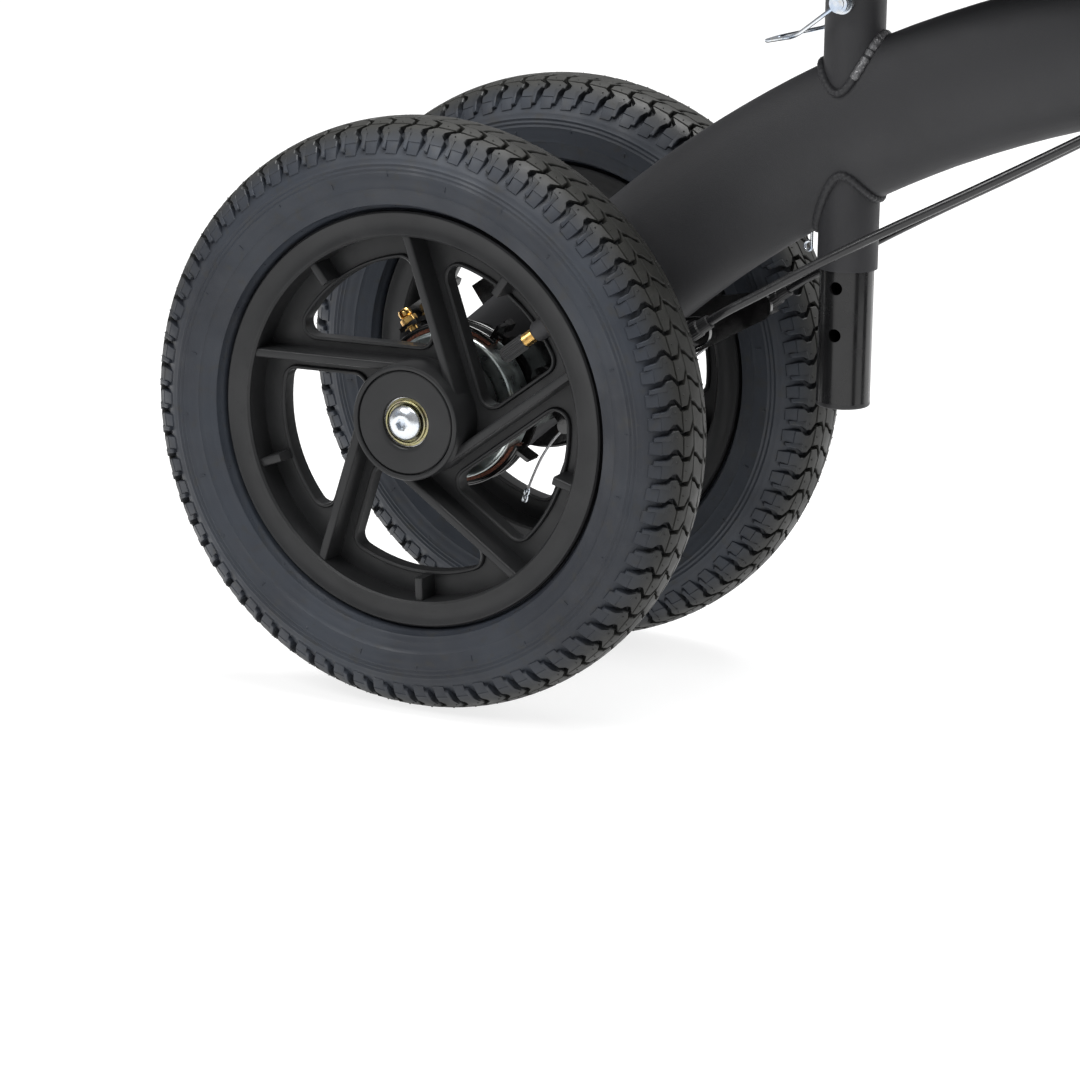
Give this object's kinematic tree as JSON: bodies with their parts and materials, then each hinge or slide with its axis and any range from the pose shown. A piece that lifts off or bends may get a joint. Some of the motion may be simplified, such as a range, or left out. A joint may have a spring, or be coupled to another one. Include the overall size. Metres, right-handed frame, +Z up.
{
  "type": "knee scooter",
  "caption": "All-terrain knee scooter with pneumatic wheels, a curved beam, a pinned knee pad post, a folding tiller and hand-pulled rear band brakes.",
  "frame": {"origin": "on the ground under the middle of the scooter's bounding box", "axes": "+X forward, +Y to the rider's left, +Z up"},
  "size_m": [0.968, 0.524, 0.9439],
  "materials": {
    "frame_paint": "matte charcoal powder coat with a fine grain",
    "post_paint": "gloss black powder coat",
    "rim_plastic": "moulded black nylon, satin",
    "tyre_rubber": "black rubber, slightly blue bloom",
    "tube_rubber": "smooth black butyl",
    "grip_rubber": "moulded soft rubber",
    "bright_zinc": "bright zinc plate",
    "yellow_zinc": "yellow passivated zinc",
    "drum_zinc": "blue-white zinc plated pressing",
    "brass": "turned brass",
    "brake_black": "gloss black e-coat",
    "lining": "red-brown moulded friction lining",
    "bearing_steel": "ground steel with shields",
    "cable_sheath": "gloss black cable housing",
    "wire_steel": "bare stranded steel wire",
    "black_plastic": "moulded black plastic",
    "pad_cover": "black coated vinyl over foam",
    "alloy": "satin anodised"
  },
  "bodies": {
    "frame": {"main_beam": "frame_paint", "seat_sleeve": "frame_paint", "head_tube": "frame_paint", "headset_bearings": "brake_black", "rear_axle_shaft": "bright_zinc", "rear_axle_bolts": "bright_zinc", "rear_axle_washers": "yellow_zinc", "cable_guides": "black_plastic", "brake_backplates": "brake_black", "brake_linings": "lining", "brake_bands": "brake_black", "brake_adjusters": "brass", "brake_cables": "cable_sheath", "brake_wires": "wire_steel", "seat_lock_pin": "bright_zinc"},
    "lock_bail": {"lock_bail": "bright_zinc"},
    "knee_rest": {"seat_post": "post_paint", "post_end_plug": "black_plastic", "pad_bracket": "post_paint", "pad_board": "black_plastic", "knee_pad": "pad_cover"},
    "steering": {"steerer": "frame_paint", "front_cross_beam": "frame_paint", "front_axle_bolts": "bright_zinc", "hinge_yoke": "frame_paint", "fold_hinge_pin": "bright_zinc"},
    "fold_lever": {"fold_lever": "black_plastic"},
    "tiller": {"tiller_tube": "frame_paint"},
    "stem_lever": {"stem_lever": "black_plastic"},
    "handlebar": {"stem_tube": "post_paint", "handlebar": "post_paint", "grips": "grip_rubber", "lever_perches": "black_plastic", "handlebar_cables": "cable_sheath"},
    "brake_lever_right": {"brake_lever_right": "brake_black"},
    "brake_lever_left": {"brake_lever_left": "brake_black"},
    "brake_arm_right": {"brake_arm_right": "brake_black"},
    "brake_arm_left": {"brake_arm_left": "brake_black"},
    "rear_right_wheel": {"rear_right_tyre": "tyre_rubber", "rear_right_inner_tube": "tube_rubber", "rear_right_rim": "rim_plastic", "rear_right_bearings": "bearing_steel", "rear_right_hub_seal": "rim_plastic", "rear_right_brake_drum": "drum_zinc"},
    "rear_left_wheel": {"rear_left_tyre": "tyre_rubber", "rear_left_inner_tube": "tube_rubber", "rear_left_rim": "rim_plastic", "rear_left_bearings": "bearing_steel", "rear_left_hub_seal": "rim_plastic", "rear_left_brake_drum": "drum_zinc"},
    "front_right_wheel": {"front_right_tyre": "tyre_rubber", "front_right_inner_tube": "tube_rubber", "front_right_rim": "rim_plastic", "front_right_bearings": "bearing_steel", "front_right_hub_seal": "rim_plastic"},
    "front_left_wheel": {"front_left_tyre": "tyre_rubber", "front_left_inner_tube": "tube_rubber", "front_left_rim": "rim_plastic", "front_left_bearings": "bearing_steel", "front_left_hub_seal": "rim_plastic"}
  },
  "joints": [
    {"name": "knee_rest_height", "type": "slide", "parent": "frame", "child": "knee_rest", "axis": [0, 0, 1], "range_m": [0, 0.15]},
    {"name": "lock_bail_swing", "type": "hinge", "parent": "frame", "child": "lock_bail", "pos_m": [-0.1233, 0, 0.386], "axis": [0, 1, 0], "range_deg": [0, 78]},
    {"name": "steering_turn", "type": "hinge", "parent": "frame", "child": "steering", "pos_m": [0.325, 0, 0.4], "axis": [0, 0, 1], "range_deg": [-35, 35]},
    {"name": "tiller_fold", "type": "hinge", "parent": "steering", "child": "tiller", "pos_m": [0.325, 0, 0.505], "axis": [0, 1, 0], "range_deg": [-75, 0]},
    {"name": "fold_lever_swing", "type": "hinge", "parent": "steering", "child": "fold_lever", "pos_m": [0.325, -0.0305, 0.505], "axis": [-1, 0, 0], "range_deg": [0, 110]},
    {"name": "handlebar_height", "type": "slide", "parent": "tiller", "child": "handlebar", "axis": [0, 0, 1], "range_m": [-0.075, 0.075]},
    {"name": "stem_lever_swing", "type": "hinge", "parent": "tiller", "child": "stem_lever", "pos_m": [0.293, -0.019, 0.767], "axis": [-1, 0, 0], "range_deg": [0, 110]},
    {"name": "brake_lever_right_pull", "type": "hinge", "parent": "handlebar", "child": "brake_lever_right", "pos_m": [0.358, -0.112, 0.925], "axis": [0, 0, -1], "range_deg": [0, 20], "stiffness_Nm_per_rad": 2, "springref_deg": -11.46},
    {"name": "brake_lever_left_pull", "type": "hinge", "parent": "handlebar", "child": "brake_lever_left", "pos_m": [0.358, 0.112, 0.925], "axis": [0, 0, 1], "range_deg": [0, 20], "stiffness_Nm_per_rad": 2, "springref_deg": -11.46},
    {"name": "brake_arm_right_turn", "type": "hinge", "parent": "frame", "child": "brake_arm_right", "pos_m": [-0.277, -0.0455, 0.176], "axis": [0, -1, 0], "range_deg": [0, 15], "deforming": ["brake_wires"]},
    {"name": "brake_arm_left_turn", "type": "hinge", "parent": "frame", "child": "brake_arm_left", "pos_m": [-0.277, 0.0455, 0.176], "axis": [0, -1, 0], "range_deg": [0, 15]},
    {"name": "rear_right_wheel_spin", "type": "hinge", "parent": "frame", "child": "rear_right_wheel", "pos_m": [-0.325, -0.08525, 0.159], "axis": [0, 1, 0], "continuous": true},
    {"name": "rear_left_wheel_spin", "type": "hinge", "parent": "frame", "child": "rear_left_wheel", "pos_m": [-0.325, 0.08525, 0.159], "axis": [0, 1, 0], "continuous": true},
    {"name": "front_right_wheel_spin", "type": "hinge", "parent": "steering", "child": "front_right_wheel", "pos_m": [0.325, -0.165, 0.159], "axis": [0, 1, 0], "continuous": true},
    {"name": "front_left_wheel_spin", "type": "hinge", "parent": "steering", "child": "front_left_wheel", "pos_m": [0.325, 0.165, 0.159], "axis": [0, 1, 0], "continuous": true}
  ],
  "couplings": [
    {"joint": "brake_arm_right_turn", "follows": "brake_lever_right_pull", "ratio": 0.75},
    {"joint": "brake_arm_left_turn", "follows": "brake_lever_left_pull", "ratio": 0.75}
  ]
}
